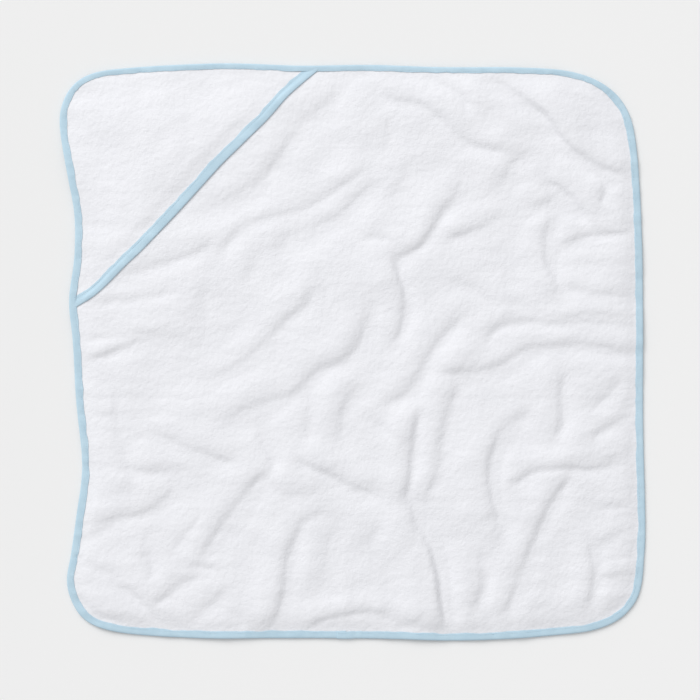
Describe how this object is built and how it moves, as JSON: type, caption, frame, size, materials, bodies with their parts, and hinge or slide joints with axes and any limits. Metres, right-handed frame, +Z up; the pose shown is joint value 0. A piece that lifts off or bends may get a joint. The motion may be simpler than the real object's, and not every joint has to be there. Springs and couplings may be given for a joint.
{
  "type": "hooded baby towel",
  "caption": "Square terry towel with rounded corners, a three-cornered hood sewn over one corner, and a folded tape binding along every edge.",
  "frame": {"origin": "under the middle of the towel's box, on the surface it lies on", "axes": "+Z up from the surface; +X along the bound edge beside the hood, +Y from the plain edge towards the hood's edge; the hood is at the -X +Y corner"},
  "size_m": [0.7492, 0.738, 0.0135],
  "materials": {
    "terry": "white cotton terry, loops on both faces",
    "tape": "light blue cotton jersey tape, matte",
    "seam_thread": "light blue spun thread, matte",
    "basting_thread": "white spun thread, matte"
  },
  "bodies": {
    "towel": {"towel_panel": "terry", "hood_seam_allowance": "terry", "edge_binding": "tape", "edge_needle_thread": "seam_thread", "edge_bobbin_thread": "seam_thread", "hood_basting_thread": "basting_thread"},
    "hood": {"hood_panel": "terry", "hood_binding": "tape", "hood_needle_thread": "seam_thread", "hood_bobbin_thread": "seam_thread"}
  },
  "joints": [
    {"name": "hood_open", "type": "hinge", "parent": "towel", "child": "hood", "pos_m": [-0.33626, 0.34397, 0.0088], "axis": [-0.7114, -0.7028, 0], "range_deg": [0, 35]}
  ]
}
